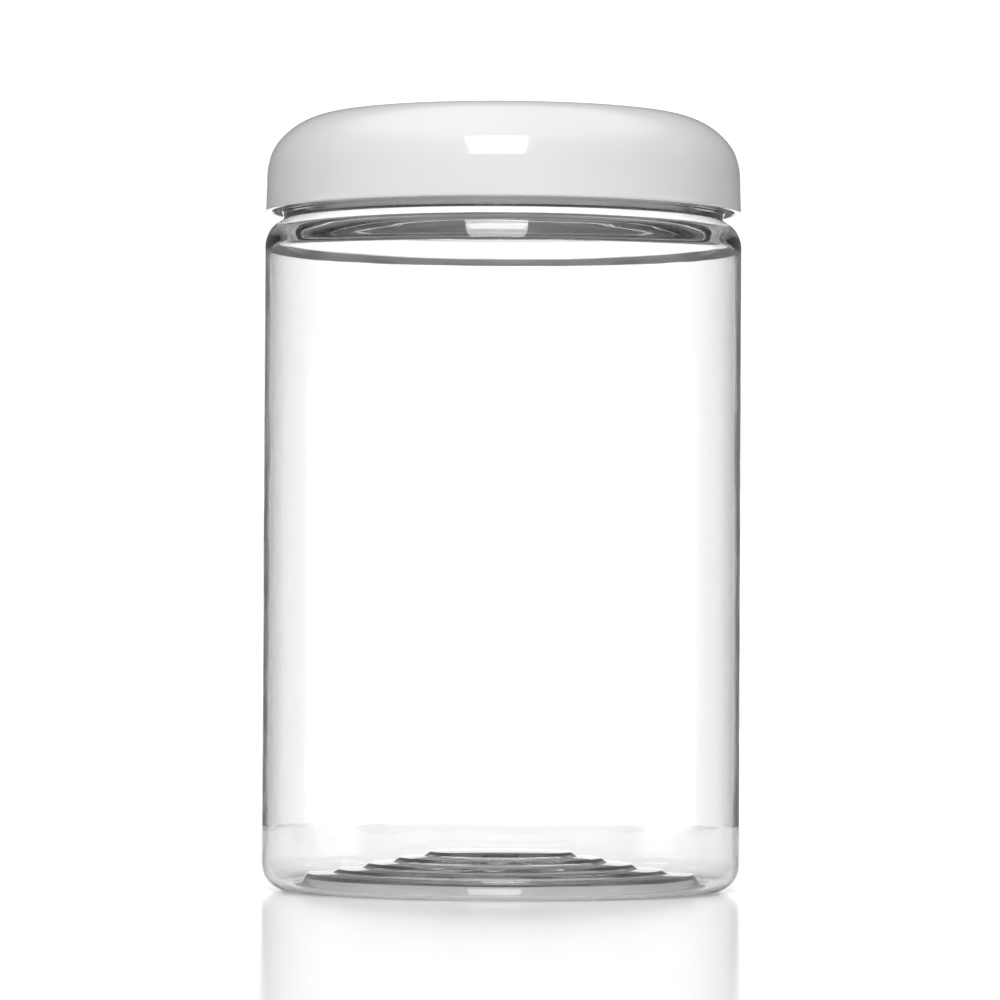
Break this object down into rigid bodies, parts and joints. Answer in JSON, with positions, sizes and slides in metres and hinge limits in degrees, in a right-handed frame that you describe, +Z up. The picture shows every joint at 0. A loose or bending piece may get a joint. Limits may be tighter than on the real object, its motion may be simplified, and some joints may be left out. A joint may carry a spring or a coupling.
{
  "type": "snap lid food container",
  "caption": "Round clear plastic food jar with straight walls, a short wide neck and a glossy white domed lid that snaps on over the rim and lifts off.",
  "frame": {"origin": "centre of the foot ring, on the surface the jar stands on", "axes": "+Z up along the jar's axis, towards the lid; the jar is round, so X and Y are alike"},
  "size_m": [0.0954, 0.0954, 0.1559],
  "materials": {
    "clear_plastic": "clear, glossy, blow-moulded",
    "white_plastic": "glossy white, injection-moulded",
    "liner_foam": "fine foam sheet, soft matt"
  },
  "bodies": {
    "jar": {"jar_body": "clear_plastic"},
    "cap": {"lid": "white_plastic", "seal_liner": "liner_foam"}
  },
  "joints": [
    {"name": "lid_lift", "type": "slide", "parent": "jar", "child": "cap", "axis": [0, 0, 1], "range_m": [0, 0.08]}
  ]
}
